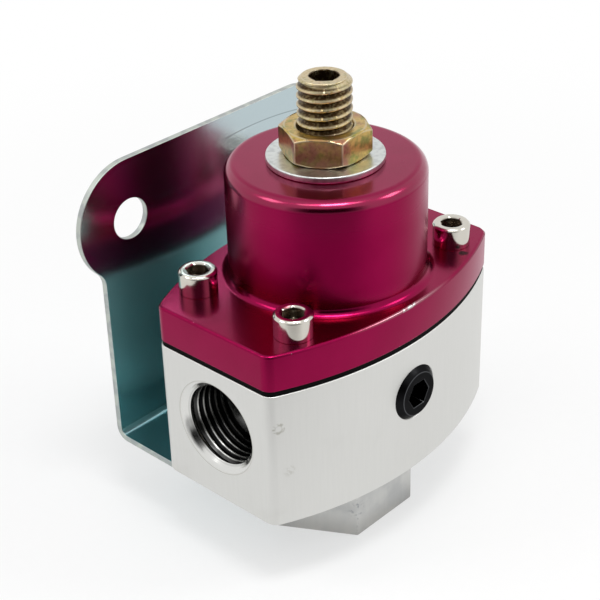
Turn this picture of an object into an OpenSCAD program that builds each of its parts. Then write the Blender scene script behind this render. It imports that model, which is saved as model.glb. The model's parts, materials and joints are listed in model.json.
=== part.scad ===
// Dead-head fuel pressure regulator: bottom inlet, two side outlets, spring-loaded diaphragm.
// Origin on the regulator axis at the bottom face of the inlet fitting, +Z up,
// the gauge plug faces -Y, the outlets face -X and +X, the bracket stands at +Y.

/* [Bonnet] */
// Outside diameter of the spring dome
dome_d = 35.3; // [33:0.1:39]
// Height of the dome above the flange
dome_h = 21; // [18:0.1:26]
// Rounding of the dome's top edge
dome_top_r = 2.1; // [1:0.1:3]
// Fillet where the dome meets the flange
dome_foot_r = 1.4; // [0.6:0.1:1.8]
// Wall of the dome
dome_wall = 2.8; // [2:0.1:3.4]
// Thickness of the dome's roof, which carries the adjusting thread
dome_roof = 5; // [4:0.1:7]
// Thickness of the clamping flange
flange_t = 6.9; // [5:0.1:9]

/* [Body] */
// Height of the body block
body_h = 26.6; // [26:0.1:34]
// Radius of the bulged front and back faces
face_arc_r = 62.6; // [56:0.1:80]
// Rounding of the four upright corners
corner_r = 2.4; // [2:0.1:5]
// Land between the dome's fillet and the crown of the front face
crown_land = 1.35; // [0.8:0.05:4]
// Distance from the cover screws' centres to the outlet faces
outlet_margin = 8.5; // [7:0.05:12]
// Diameter of the fuel well in the middle of the body
well_d = 20; // [18:0.1:22]
// Depth of the shallow chamber under the diaphragm
chamber_depth = 2.9; // [2.7:0.1:3.6]

/* [Diaphragm] */
// Thickness of the clamped diaphragm
diaphragm_t = 1; // [0.8:0.1:2]
// How far its edge is set back from the faces
diaphragm_inset = 0.2; // [0.1:0.05:0.5]
// Free ring between the plates and the dome's bore
plate_margin = 2.3; // [1.5:0.1:3]
// Thickness of each diaphragm plate
plate_t = 1.3; // [1:0.1:1.6]
// Diameter of the stem that holds the plates together
stem_d = 4.8; // [4:0.1:5.6]
// Diameter of the shoulder under the lower plate
stem_shoulder_d = 7; // [6:0.1:8]
// Thickness of that shoulder
stem_shoulder_t = 1.1; // [0.8:0.1:1.3]
// Width across flats of the nut on the stem
stem_nut_af = 8; // [7:0.1:8.4]
// Height of that nut
stem_nut_h = 2.8; // [2.2:0.1:4]
// Stem left standing above its nut
stem_proud = 0.8; // [0.4:0.1:2]

/* [Cover screws] */
// Angle of the four cover screws, from the outlet axis
screw_angle = 28.35; // [26:0.05:32]
// Gap between the dome's fillet and the screw heads
head_clear = 1.37; // [0.8:0.01:3]
// Shank diameter
screw_d = 4.17; // [3.5:0.01:4.6]
// Head diameter
screw_head_d = 6.86; // [6.2:0.01:7.4]
// Head height
screw_head_h = 4.17; // [3.5:0.01:5.2]
// Key width across flats
screw_key = 3.57; // [3:0.01:4]
// Depth of the key socket
screw_key_depth = 2.2; // [1.5:0.1:3]
// Bevel of the head's top edge
screw_bevel = 0.4; // [0.1:0.05:0.7]
// Length of thread in the body
screw_grip = 9; // [6:0.1:10]

/* [Ports] */
// Drilled diameter of the tapered pipe ports, at their thread crests
port_d = 15.2; // [14.4:0.1:16]
// Diameter of the bevel at an outlet's mouth
port_mouth_d = 17.8; // [17.4:0.1:20]
// Depth of an outlet's full bore
port_depth = 12.4; // [10:0.1:13]
// Passage from an outlet to the well
passage_d = 10; // [8:0.1:11]
// Height of the outlet axis above the body's underside
port_rise = 14.8; // [14:0.1:16]

/* [Gauge plug] */
// Diameter of the plug
plug_d = 10.5; // [9:0.1:12]
// Length of the plug
plug_len = 7; // [5:0.1:8]
// Key width across flats
plug_key = 4.76; // [4:0.01:5.6]
// Depth of the key socket
plug_key_depth = 4; // [2:0.1:4.6]
// Height of the plug above the outlet axis
plug_rise = 1.4; // [0:0.1:3]
// How far the plug stands out of the crown of the face
plug_proud = 0.8; // [0.1:0.05:1]
// Bevel of the plug's rim
plug_bevel = 1.1; // [0.2:0.05:1.4]
// Gauge hole behind the plug
gauge_hole_d = 5; // [3:0.1:6]

/* [Inlet fitting] */
// Width across the flats of the hexagon
hex_af = 26.8; // [25:0.1:32]
// Height of the hexagon
hex_h = 13.9; // [13:0.1:18]
// Width of the bevel on the hexagon's upper corners
hex_bevel = 1.2; // [0.4:0.1:2]
// Diameter of the spigot that screws into the body
spigot_d = 19; // [18:0.1:20]
// Length of the spigot inside the body
spigot_len = 6.3; // [6:0.1:7]
// Depth of the inlet's threaded bore
inlet_depth = 10.4; // [9:0.1:11]
// Bevel of the inlet's mouth
inlet_bevel = 0.35; // [0.1:0.05:0.6]
// Thickness of the web that carries the valve spring
inlet_web = 1.6; // [1.2:0.1:2.2]
// Feed hole in that web
feed_hole_d = 6.4; // [5:0.1:7]
// Bore that guides the valve
guide_d = 13.2; // [12.6:0.1:14]
// Width of the seal groove
groove_w = 2; // [1.8:0.1:2.4]
// Depth of the seal groove
groove_depth = 1.5; // [1.2:0.05:1.8]

/* [Valve] */
// Travel of the valve from open to shut
valve_lift = 1; // [0.6:0.1:1.3]
// Flow hole of the seat
orifice_d = 4.4; // [3.6:0.1:5]
// Diameter of the seat's flange
seat_flange_d = 12; // [11:0.1:12.4]
// Diameter of the seat's neck
seat_neck_d = 9; // [8:0.1:10]
// Thickness of the seat's flange
seat_flange_t = 1.3; // [1:0.1:1.6]
// Thickness of the wall that holds the seat
seat_wall = 3; // [2.6:0.1:3.4]
// Height of the seat's lip
seat_lip = 0.6; // [0.4:0.05:0.8]
// Diameter of the pin that pushes the valve
pin_d = 2.4; // [2:0.1:2.8]
// Diameter of the rubber seal on the valve
seal_d = 8; // [7.4:0.1:9]
// Thickness of that seal
seal_t = 1.1; // [0.8:0.1:1.3]
// Thickness of the valve's disc
poppet_t = 1.7; // [1.4:0.1:2]
// Rim of the valve's disc outside the seal
poppet_rim = 0.5; // [0.3:0.1:0.8]
// Width of each of the valve's three guide arms
poppet_arm_w = 2.6; // [2:0.1:4]

/* [Springs] */
// Wire of the main spring
main_wire = 1.6; // [1.2:0.1:1.8]
// Mean diameter of the main spring
main_mean_d = 14; // [13.2:0.1:15]
// Turns of the main spring
main_turns = 5; // [4:0.5:5.5]
// Wire of the valve spring
valve_wire = 0.6; // [0.4:0.05:0.8]
// Mean diameter of the valve spring
valve_mean_d = 9; // [8.4:0.1:10]
// Turns of the valve spring
valve_turns = 4; // [3:0.5:4.5]

/* [Adjuster] */
// Thread diameter of the adjusting screw
adjuster_d = 9.525; // [8:0.005:11]
// Length of the adjusting screw
adjuster_len = 25.4; // [24:0.1:28]
// Key width across flats
adjuster_key = 4.76; // [4:0.01:5.2]
// Depth of the key socket
adjuster_key_depth = 5; // [3:0.1:7]
// Bevel of the screw's ends
adjuster_bevel = 0.85; // [0.2:0.05:0.9]
// Screw left standing above the lock nut
adjuster_proud = 8.7; // [7.6:0.1:10]
// Turn of its key socket about the axis
adjuster_key_turn = 12.5; // [0:0.5:60]
// Width across the flats of the lock nut
nut_af = 14.2; // [13.4:0.1:16]
// Height of the lock nut
nut_h = 5.25; // [4.5:0.05:7]
// Bevel of the nut's corners
nut_bevel = 0.7; // [0.3:0.05:0.9]
// Bevel of the nut's bore
nut_lead = 0.3; // [0.1:0.05:0.8]
// Turn of the nut about the axis
nut_turn = 2.8; // [0:0.1:60]
// Outside diameter of the washer
washer_d = 20.7; // [19:0.1:24]
// Hole in the washer
washer_hole_d = 10.3; // [9.8:0.05:11.5]
// Thickness of the washer
washer_t = 1.2; // [0.8:0.1:2]
// Diameter of the button between screw and spring
button_d = 17.4; // [16.8:0.1:19]
// Thickness of the button's rim
button_t = 2.5; // [2:0.1:3]
// Length of the button's pilot inside the spring
button_pilot = 2; // [1:0.1:2.5]

/* [Bracket] */
// Thickness of the sheet
sheet_t = 1.2; // [1:0.1:2.5]
// Gap between the body's crowned back and the upright plate
bracket_gap = 7.5; // [4:0.05:12]
// How far the plate's sides are set in from the outlet faces
neck_inset = 1.4; // [0:0.05:3]
// Distance from the plate's sides in to the bolt holes
hole_inset = 7; // [5:0.1:9]
// Height of the bolt holes above the foot's underside
hole_height = 44.2; // [38:0.1:56]
// Diameter of the bolt holes
bolt_hole_d = 7.7; // [6:0.1:10]
// Radius of the ears round the bolt holes
ear_r = 11.6; // [10.4:0.1:13]
// Hollow fillet under each ear
ear_fillet_r = 4; // [2:0.1:6]
// Inside radius of the bend
bend_r = 1.4; // [0.8:0.1:2.5]
// How far the foot's full width reaches from the axis towards the front
foot_reach = 0; // [-5:0.1:3]
// Rounding of the foot's front corners
foot_corner_r = 9; // [4:0.1:10]
// Rim of the foot's tongue outside the spigot
tongue_rim = 8; // [4:0.1:10]

/* [Fits] */
// Radial gap of a turning or sliding thread or pin
thread_gap = 0.04; // [0.02:0.01:0.08]
// Gap round pieces that are assembled and then stay put
fit_gap = 0.02; // [0.01:0.01:0.04]
// Gap round a bolt in a clearance hole
bolt_gap = 0.2; // [0.1:0.05:0.4]
// Gap between a seal or pin end and what it meets
touch_gap = 0.05; // [0.02:0.01:0.1]
// Radial gap between the main spring and the pieces that centre it
spring_gap = 0.4; // [0.2:0.05:0.6]
// Side gap of the valve's guide arms
guide_gap = 0.3; // [0.2:0.05:0.4]

/* [Hidden] */
$fn = 128;

// Overshoot of a cut past the face that it opens
cut = 1;
// Overlap of arcs that blend into each other
weld = 0.02;
hex_ratio = cos(30);
spring_sides = 8;
spring_steps = 18;

screw_pattern_r = dome_d / 2 + dome_foot_r + head_clear + screw_head_d / 2;
screw_x = screw_pattern_r * cos(screw_angle);
screw_y = screw_pattern_r * sin(screw_angle);
body_w = 2 * (screw_x + outlet_margin);
body_d = dome_d + 2 * dome_foot_r + 2 * crown_land;
dome_bore = dome_d - 2 * dome_wall;
plate_d = dome_bore - 2 * plate_margin;

z_body = hex_h + sheet_t;
z_port = z_body + port_rise;
z_plug = z_port + plug_rise;
z_body_top = z_body + body_h;
z_flange = z_body_top + diaphragm_t;
z_deck = z_flange + flange_t;
z_dome = z_deck + dome_h;
z_nut = z_dome + washer_t;
z_nut_top = z_nut + nut_h;
z_adjuster_top = z_nut_top + adjuster_proud;
z_adjuster_tip = z_adjuster_top - adjuster_len;

z_spigot_top = z_body + spigot_len;
z_seat_wall = z_spigot_top + fit_gap;
z_well = z_seat_wall + seat_wall;
z_chamber = z_body_top - chamber_depth;
z_spring_web = inlet_depth + inlet_web;
z_lip = z_seat_wall - seat_lip;
z_seal = z_lip - touch_gap - valve_lift;
z_poppet = z_seal - seal_t - poppet_t;

z_lower_plate = z_body_top - plate_t;
z_shoulder = z_lower_plate - stem_shoulder_t;
z_upper_plate = z_flange + plate_t;
z_stem_nut = z_upper_plate + stem_nut_h;
z_stem_top = z_stem_nut + stem_proud;
z_button = z_adjuster_tip - button_t;

crown_y = body_d / 2;
neck_x = body_w / 2 - neck_inset;
ear_x = neck_x - hole_inset;
z_bolt = hex_h + hole_height;
plate_y = crown_y + bracket_gap;
tongue_r = spigot_d / 2 + tongue_rim;
groove_floor_d = spigot_d - 2 * groove_depth;
spigot_bore_d = spigot_d + 2 * fit_gap;

anodised_red = [0.60, 0.07, 0.27];
machined_aluminium = [0.82, 0.82, 0.81];
turned_aluminium = [0.68, 0.69, 0.69];
clear_zinc = [0.66, 0.72, 0.73];
yellow_zinc = [0.70, 0.60, 0.34];
nickel_plate = [0.85, 0.85, 0.82];
black_oxide = [0.06, 0.06, 0.06];
black_rubber = [0.05, 0.05, 0.05];
brass = [0.78, 0.62, 0.30];
spring_steel = [0.55, 0.56, 0.58];

// Outline shared by the body, the diaphragm and the bonnet's flange:
// two bulged faces and two flat ones, with corners tangent to both.
module block_outline(inset = 0) {
  half_w = body_w / 2 - inset;
  arc_r = face_arc_r - inset;
  round_r = corner_r - inset;
  arc_centre = face_arc_r - crown_y;
  corner_y = sqrt(pow(arc_r - round_r, 2) - pow(half_w - round_r, 2)) - arc_centre;
  tangent_x = arc_r * (half_w - round_r) / (arc_r - round_r);
  intersection() {
    translate([0, arc_centre]) circle(arc_r, $fn = 360);
    translate([0, -arc_centre]) circle(arc_r, $fn = 360);
    square([2 * tangent_x, 2 * arc_r], center = true);
  }
  square([2 * half_w, 2 * corner_y], center = true);
  for (side = [-1, 1], end = [-1, 1])
    translate([side * (half_w - round_r), end * corner_y]) circle(round_r);
}

module at_cover_screws() {
  for (side = [-1, 1], end = [-1, 1])
    translate([side * screw_x, end * screw_y, 0]) children();
}

module hexagon(af, h) {
  cylinder(d = af / hex_ratio, h = h, $fn = 6);
}

// Ring with a plain bore, standing on z = 0.
module ring(outer_d, inner_d, h) {
  difference() {
    cylinder(d = outer_d, h = h);
    translate([0, 0, -cut]) cylinder(d = inner_d, h = h + 2 * cut);
  }
}

// Cylinder with a bevel on its top edge, and on its lower edge if asked.
module bevelled_rod(d, h, bevel, both = false) {
  low = both ? bevel : 0;
  rotate_extrude()
    polygon([[0, 0], [d / 2 - low, 0], [d / 2, low], [d / 2, h - bevel], [d / 2 - bevel, h], [0, h]]);
}

// Round wire along a helix with closed end turns, standing between z = 0 and z = length.
module coil(mean_d, wire, length, turns) {
  steps = ceil(turns * spring_steps);
  dead = 0.75;
  rise = length - 2 * wire - 2 * fit_gap;
  lift = function(turn)
    wire / 2 + fit_gap + (turn < dead ? wire / 2 * turn / dead
      : turn > turns - dead ? wire / 2 + rise + wire / 2 * (turn - turns + dead) / dead
      : wire / 2 + rise * (turn - dead) / (turns - 2 * dead));
  points = [
    for (i = [0 : steps], k = [0 : spring_sides - 1])
      let (turn = turns * i / steps, a = 360 * turn, b = 360 * k / spring_sides)
      let (r = mean_d / 2 + wire / 2 * cos(b))
        [r * cos(a), r * sin(a), lift(turn) + wire / 2 * sin(b)]
  ];
  sides = [
    for (i = [0 : steps - 1], k = [0 : spring_sides - 1])
      let (n = (k + 1) % spring_sides, p = i * spring_sides, q = p + spring_sides)
        [p + k, p + n, q + n, q + k]
  ];
  first = [for (k = [0 : spring_sides - 1]) spring_sides - 1 - k];
  last = [for (k = [0 : spring_sides - 1]) steps * spring_sides + k];
  polyhedron(points, concat([first], sides, [last]), convexity = 10);
}

module outlet_bore(side) {
  translate([side * body_w / 2, 0, z_port])
    rotate([0, -90 * side, 0]) {
      translate([0, 0, -cut]) cylinder(d = port_d, h = port_depth + cut);
      mouth = (port_mouth_d - port_d) / 2;
      cylinder(d1 = port_mouth_d, d2 = port_d, h = mouth);
      cylinder(d = passage_d, h = body_w / 2);
    }
}

module gauge_bore() {
  translate([0, -crown_y, z_plug])
    rotate([-90, 0, 0]) {
      translate([0, 0, -cut]) cylinder(d = plug_d + 2 * fit_gap, h = cut + plug_len - plug_proud + touch_gap);
      cylinder(d = gauge_hole_d, h = crown_y);
    }
}

module body() {
  color(machined_aluminium)
  difference() {
    translate([0, 0, z_body]) linear_extrude(body_h) block_outline();
    translate([0, 0, z_chamber]) cylinder(d = dome_bore, h = chamber_depth + cut);
    translate([0, 0, z_well]) cylinder(d = well_d, h = z_chamber - z_well + cut);
    translate([0, 0, z_body - cut]) cylinder(d = spigot_bore_d, h = z_seat_wall - z_body + cut);
    translate([0, 0, z_seat_wall - cut])
      cylinder(d = seat_flange_d + 2 * fit_gap, h = cut + seat_flange_t + fit_gap);
    translate([0, 0, z_seat_wall]) cylinder(d = seat_neck_d + 2 * fit_gap, h = seat_wall + cut);
    for (side = [-1, 1]) outlet_bore(side);
    gauge_bore();
    at_cover_screws()
      translate([0, 0, z_body_top - screw_grip - touch_gap])
        cylinder(d = screw_d + 2 * fit_gap, h = screw_grip + touch_gap + cut);
  }
}

// Section of the dome outside, from the flange's underside to the roof.
module dome_section() {
  r = dome_d / 2;
  translate([0, z_flange]) square([r, z_dome - dome_top_r - z_flange]);
  translate([0, z_flange]) square([r - dome_top_r, z_dome - z_flange]);
  translate([r - dome_top_r, z_dome - dome_top_r]) circle(dome_top_r);
  difference() {
    translate([0, z_flange]) square([r + dome_foot_r, flange_t + dome_foot_r]);
    translate([r + dome_foot_r, z_deck + dome_foot_r]) circle(dome_foot_r);
  }
}

module bonnet() {
  color(anodised_red)
  difference() {
    union() {
      translate([0, 0, z_flange]) linear_extrude(flange_t) block_outline();
      rotate_extrude() intersection() {
        dome_section();
        square([body_d, z_dome + cut]);
      }
    }
    translate([0, 0, z_flange - cut]) cylinder(d = dome_bore, h = z_dome - dome_roof - z_flange + cut);
    translate([0, 0, z_dome - dome_roof - cut])
      cylinder(d = adjuster_d + 2 * thread_gap, h = dome_roof + 2 * cut);
    at_cover_screws()
      translate([0, 0, z_flange - cut]) cylinder(d = screw_d + 2 * bolt_gap, h = flange_t + 2 * cut);
  }
}

module diaphragm() {
  color(black_rubber)
  translate([0, 0, z_body_top])
  difference() {
    linear_extrude(diaphragm_t) block_outline(diaphragm_inset);
    translate([0, 0, -cut]) cylinder(d = stem_d + 2 * fit_gap, h = diaphragm_t + 2 * cut);
    at_cover_screws()
      translate([0, 0, -cut]) cylinder(d = screw_d + 2 * bolt_gap, h = diaphragm_t + 2 * cut);
  }
}

module cap_screw() {
  shank = screw_grip + diaphragm_t + flange_t;
  difference() {
    union() {
      bevelled_rod(screw_head_d, screw_head_h, screw_bevel);
      translate([0, 0, -shank]) cylinder(d = screw_d, h = shank + cut);
    }
    translate([0, 0, screw_head_h - screw_key_depth]) hexagon(screw_key, screw_key_depth + cut);
  }
}

module cover_screws() {
  color(nickel_plate)
  at_cover_screws() translate([0, 0, z_deck]) cap_screw();
}

module gauge_plug() {
  color(black_oxide)
  translate([0, -crown_y + plug_len - plug_proud, z_plug])
    rotate([90, 0, 0])
      difference() {
        bevelled_rod(plug_d, plug_len, plug_bevel, true);
        translate([0, 0, plug_len - plug_key_depth]) hexagon(plug_key, plug_key_depth + cut);
      }
}

module inlet_fitting() {
  corner_r_hex = hex_af / 2 / hex_ratio;
  flare = inlet_bevel + fit_gap;
  z_groove = z_body + (spigot_len - groove_w) / 2;
  color(turned_aluminium)
  difference() {
    union() {
      intersection() {
        hexagon(hex_af, hex_h);
        rotate_extrude()
          polygon([
            [0, 0], [corner_r_hex + cut, 0], [corner_r_hex + cut, hex_h - hex_bevel - cut * tan(30)],
            [corner_r_hex - hex_bevel / tan(30), hex_h], [0, hex_h]
          ]);
      }
      cylinder(d = spigot_d, h = z_spigot_top);
    }
    translate([0, 0, -cut]) cylinder(d = port_d, h = inlet_depth + cut);
    translate([0, 0, -fit_gap]) cylinder(d1 = port_d + 2 * flare, d2 = port_d, h = flare);
    cylinder(d = feed_hole_d, h = hex_h);
    translate([0, 0, z_spring_web]) cylinder(d = guide_d, h = z_spigot_top - z_spring_web + cut);
    translate([0, 0, z_groove]) ring(spigot_d + cut, groove_floor_d, groove_w);
  }
}

module fitting_o_ring() {
  section_r = (spigot_bore_d - groove_floor_d) / 4 - fit_gap / 2;
  color(black_rubber)
  translate([0, 0, z_body + spigot_len / 2])
    rotate_extrude()
      translate([(spigot_bore_d + groove_floor_d) / 4, 0]) circle(section_r);
}

// Upright plate seen from the front: straight sides, two round ears, straight top edge.
module plate_outline(z_low) {
  fillet_x = neck_x + ear_fillet_r - weld;
  reach = ear_r + ear_fillet_r - weld;
  fillet_z = z_bolt - sqrt(pow(reach, 2) - pow(fillet_x - ear_x, 2));
  difference() {
    union() {
      translate([-neck_x, z_low]) square([2 * neck_x, z_bolt - z_low]);
      translate([-ear_x, z_bolt - ear_r]) square([2 * ear_x, 2 * ear_r]);
      for (side = [-1, 1]) {
        translate([side * ear_x, z_bolt]) circle(ear_r);
        difference() {
          polygon([[side * ear_x, fillet_z], [side * fillet_x, fillet_z], [side * ear_x, z_bolt]]);
          translate([side * fillet_x, fillet_z]) circle(ear_fillet_r);
        }
      }
    }
    for (side = [-1, 1]) translate([side * ear_x, z_bolt]) circle(d = bolt_hole_d);
  }
}

// Foot seen from above: full width at the bend, a round tongue under the body.
module foot_outline() {
  back = plate_y - bend_r;
  difference() {
    union() {
      translate([-neck_x, foot_reach + foot_corner_r])
        square([2 * neck_x, back - foot_reach - foot_corner_r]);
      translate([-neck_x + foot_corner_r, foot_reach])
        square([2 * (neck_x - foot_corner_r), back - foot_reach]);
      for (side = [-1, 1])
        translate([side * (neck_x - foot_corner_r), foot_reach + foot_corner_r]) circle(foot_corner_r);
      circle(tongue_r);
    }
    circle(d = spigot_d + 2 * bolt_gap);
  }
}

module bracket() {
  outer = bend_r + sheet_t;
  color(clear_zinc) {
    translate([0, plate_y + sheet_t, 0])
      rotate([90, 0, 0])
        linear_extrude(sheet_t) plate_outline(hex_h + outer);
    translate([0, 0, hex_h]) linear_extrude(sheet_t) foot_outline();
    translate([-neck_x, plate_y - bend_r, hex_h + outer])
      rotate([90, 0, 90])
        linear_extrude(2 * neck_x)
          intersection() {
            difference() {
              circle(outer);
              circle(bend_r);
            }
            translate([0, -outer]) square(outer);
          }
  }
}

module valve_seat() {
  color(brass)
  translate([0, 0, z_seat_wall])
    rotate_extrude()
      polygon([
        [orifice_d / 2, -seat_lip], [orifice_d / 2 + seat_lip / 2, -seat_lip],
        [orifice_d / 2 + seat_lip, 0], [seat_flange_d / 2, 0], [seat_flange_d / 2, seat_flange_t],
        [seat_neck_d / 2, seat_flange_t], [seat_neck_d / 2, seat_wall], [orifice_d / 2, seat_wall]
      ]);
}

module valve_poppet() {
  arm = guide_d / 2 - guide_gap;
  color(brass)
  translate([0, 0, z_poppet]) {
    cylinder(d = seal_d + 2 * poppet_rim, h = poppet_t);
    cylinder(d = pin_d + 2 * touch_gap, h = poppet_t + seal_t);
    intersection() {
      cylinder(r = arm, h = poppet_t);
      for (a = [0 : 120 : 240])
        rotate(a) translate([0, -poppet_arm_w / 2, 0]) cube([arm + cut, poppet_arm_w, poppet_t]);
    }
  }
}

module poppet_seal() {
  color(black_rubber)
  translate([0, 0, z_seal - seal_t]) ring(seal_d, pin_d + 2 * touch_gap + 2 * fit_gap, seal_t);
}

module poppet_spring() {
  color(spring_steel)
  translate([0, 0, z_spring_web]) coil(valve_mean_d, valve_wire, z_poppet - z_spring_web, valve_turns);
}

module push_stem() {
  tip = z_seal + touch_gap;
  color(brass) {
    translate([0, 0, tip]) cylinder(d = pin_d, h = z_stem_top - tip);
    translate([0, 0, z_shoulder]) cylinder(d = stem_shoulder_d, h = stem_shoulder_t);
    translate([0, 0, z_shoulder]) cylinder(d = stem_d, h = z_stem_top - z_shoulder);
  }
}

module lower_plate() {
  color(turned_aluminium)
  translate([0, 0, z_lower_plate]) ring(plate_d, stem_d + 2 * fit_gap, plate_t);
}

// The upper plate has a low rim that centres the main spring.
module upper_plate() {
  rim = main_mean_d + main_wire + 2 * spring_gap;
  color(turned_aluminium)
  translate([0, 0, z_flange]) {
    ring(plate_d, stem_d + 2 * fit_gap, plate_t);
    translate([0, 0, plate_t - fit_gap]) ring(rim + 2 * plate_t, rim, plate_t);
  }
}

module stem_nut() {
  color(spring_steel)
  translate([0, 0, z_upper_plate])
    difference() {
      hexagon(stem_nut_af, stem_nut_h);
      translate([0, 0, -cut]) cylinder(d = stem_d + 2 * fit_gap, h = stem_nut_h + 2 * cut);
    }
}

module main_spring() {
  color(spring_steel)
  translate([0, 0, z_upper_plate]) coil(main_mean_d, main_wire, z_button - z_upper_plate, main_turns);
}

module spring_button() {
  pilot_d = main_mean_d - main_wire - 2 * spring_gap;
  color(spring_steel)
  translate([0, 0, z_button]) {
    bevelled_rod(button_d, button_t, bolt_gap, true);
    translate([0, 0, -button_pilot]) cylinder(d = pilot_d, h = button_pilot + cut);
  }
}

module adjusting_screw() {
  color(yellow_zinc)
  translate([0, 0, z_adjuster_tip])
    difference() {
      bevelled_rod(adjuster_d, adjuster_len, adjuster_bevel, true);
      translate([0, 0, adjuster_len - adjuster_key_depth])
        rotate(adjuster_key_turn) hexagon(adjuster_key, adjuster_key_depth + cut);
    }
}

module lock_nut() {
  corner = nut_af / 2 / hex_ratio;
  run = nut_bevel / tan(30);
  flare = cut * tan(30);
  bore = adjuster_d / 2 + thread_gap;
  color(yellow_zinc)
  translate([0, 0, z_nut])
    difference() {
      intersection() {
        rotate(nut_turn) hexagon(nut_af, nut_h);
        rotate_extrude()
          polygon([
            [0, 0], [corner - run, 0], [corner + cut, nut_bevel + flare],
            [corner + cut, nut_h - nut_bevel - flare], [corner - run, nut_h], [0, nut_h]
          ]);
      }
      translate([0, 0, -cut]) cylinder(r = bore, h = nut_h + 2 * cut);
      translate([0, 0, nut_h - nut_lead]) cylinder(r1 = bore, r2 = bore + nut_lead, h = nut_lead);
    }
}

module flat_washer() {
  color(clear_zinc)
  translate([0, 0, z_dome]) ring(washer_d, washer_hole_d, washer_t);
}

body();
bonnet();
diaphragm();
cover_screws();
gauge_plug();
inlet_fitting();
fitting_o_ring();
bracket();
valve_seat();
valve_poppet();
poppet_seal();
poppet_spring();
push_stem();
lower_plate();
upper_plate();
stem_nut();
main_spring();
spring_button();
adjusting_screw();
lock_nut();
flat_washer();
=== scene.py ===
"""Diaphragm fuel pressure regulator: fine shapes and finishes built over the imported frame."""

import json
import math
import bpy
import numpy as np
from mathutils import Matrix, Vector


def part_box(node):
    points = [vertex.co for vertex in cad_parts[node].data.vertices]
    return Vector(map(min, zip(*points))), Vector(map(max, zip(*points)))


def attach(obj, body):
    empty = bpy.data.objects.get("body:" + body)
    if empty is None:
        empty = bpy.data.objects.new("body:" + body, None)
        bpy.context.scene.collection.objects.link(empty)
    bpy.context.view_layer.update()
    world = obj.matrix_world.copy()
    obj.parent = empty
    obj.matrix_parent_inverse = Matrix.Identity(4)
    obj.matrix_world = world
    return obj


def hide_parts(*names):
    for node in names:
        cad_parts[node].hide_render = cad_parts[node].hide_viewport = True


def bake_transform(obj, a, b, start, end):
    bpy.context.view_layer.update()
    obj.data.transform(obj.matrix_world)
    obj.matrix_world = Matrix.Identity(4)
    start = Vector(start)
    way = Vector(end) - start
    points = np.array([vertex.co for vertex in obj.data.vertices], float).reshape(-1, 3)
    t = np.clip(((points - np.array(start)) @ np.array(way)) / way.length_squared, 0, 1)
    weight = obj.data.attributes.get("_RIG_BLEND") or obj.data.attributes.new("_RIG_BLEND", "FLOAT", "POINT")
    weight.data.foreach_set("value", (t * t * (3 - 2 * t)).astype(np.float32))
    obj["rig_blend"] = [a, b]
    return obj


bl_info = {
    "name": "Fuel Pressure Regulator",
    "version": (1, 0, 0),
    "blender": (4, 5, 0),
    "location": "3D View > Sidebar > Regulator",
    "description": "Builds the finished pieces of a diaphragm fuel pressure regulator",
    "category": "Object",
}

import bmesh
import bpy
from bpy.props import FloatProperty, FloatVectorProperty, IntProperty, PointerProperty
from mathutils import Matrix, Vector

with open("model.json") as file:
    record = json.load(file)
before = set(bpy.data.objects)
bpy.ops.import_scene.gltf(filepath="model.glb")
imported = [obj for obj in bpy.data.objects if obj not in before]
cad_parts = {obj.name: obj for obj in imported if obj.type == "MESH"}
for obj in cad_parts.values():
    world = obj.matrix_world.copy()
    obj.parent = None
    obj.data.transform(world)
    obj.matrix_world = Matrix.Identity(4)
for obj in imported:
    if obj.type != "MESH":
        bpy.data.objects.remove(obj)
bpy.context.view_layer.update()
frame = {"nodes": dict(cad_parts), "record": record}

MM = 0.001
MOUNTS = {mount["name"]: mount for mount in frame["record"]["mounts"]}
BODY_LOW, BODY_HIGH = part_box("body")
BONNET_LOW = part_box("bonnet")[0]
SCREWS_LOW, SCREWS_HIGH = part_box("cover_screws")
ADJUSTER_LOW, ADJUSTER_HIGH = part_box("adjusting_screw")
BRACKET_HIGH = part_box("bracket")[1]


def mm(*lengths):
    """Lengths in millimetres as metres."""
    return tuple(length * MM for length in lengths)


# Fitted camera: where it stands, its angle, its roll and its lens.
CAMERA_PLACE = mm(-174.31, -159.64, 180.76)
CAMERA_AZIMUTH = math.radians(-46.271)
CAMERA_ELEVATION = math.radians(30.314)
CAMERA_ROLL = math.radians(-1.747)
CAMERA_LENS = 90.93
CAMERA_SENSOR = 36.0
CAMERA_CLIP = (0.01, 50.0)

# Lamps: name, place, width, depth and watts.
LAMPS = (
    ("overhead strip", (-0.12, -0.14, 0.62), 0.50, 0.10, 0.6),
    ("key lamp", (-0.09, -0.15, 0.58), 0.18, 0.12, 1.0),
    ("left lamp", (-0.36, 0.26, 0.52), 0.20, 0.20, 0.5),
    ("right lamp", (0.37, -0.42, 0.54), 0.22, 0.20, 0.8),
)
LAMP_AIM = Vector((0.0, 0.0, 0.045))
SOFT_LIGHT = 0.6
WHITE = (1.0, 1.0, 1.0, 1.0)

# Floor: its radius, how white it is beside the part, and where it turns all white.
FLOOR_RADIUS = 6.0
FLOOR_WHITE = 0.55
FLOOR_FADE = (0.06, 0.25)

# Dark cloth on the camera's side: where it starts and rises, its upper edge, its soft rims.
FLAG_NEAR = 0.07
FLAG_AWAY = 0.60
FLAG_TOP = 0.50
FLAG_LIFT = 0.002
FLAG_SOFT = 0.06
FLAG_POINT = 0.03
FLAG_SPREAD = (0.3, 1.2)
FLAG_RISE = (0.0, 0.12)

# Block outline that the frame's box doesn't give: bulged faces and upright corners.
FACE_ARC, CORNER_ROUND = mm(62.6, 2.4)

# How far off a level, the outline or its normal a point of the block may be.
LEVEL_GAP, FLAT_GAP, OUTLINE_GAP = mm(0.01, 0.004, 0.02)
NORMAL_MATCH = 0.85

# Reach of the outer edges from the axis: on the block, the bonnet's deck and the hexagon.
BLOCK_REACH, DECK_REACH, HEX_REACH = mm(18.0, 19.1, 11.0)

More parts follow.
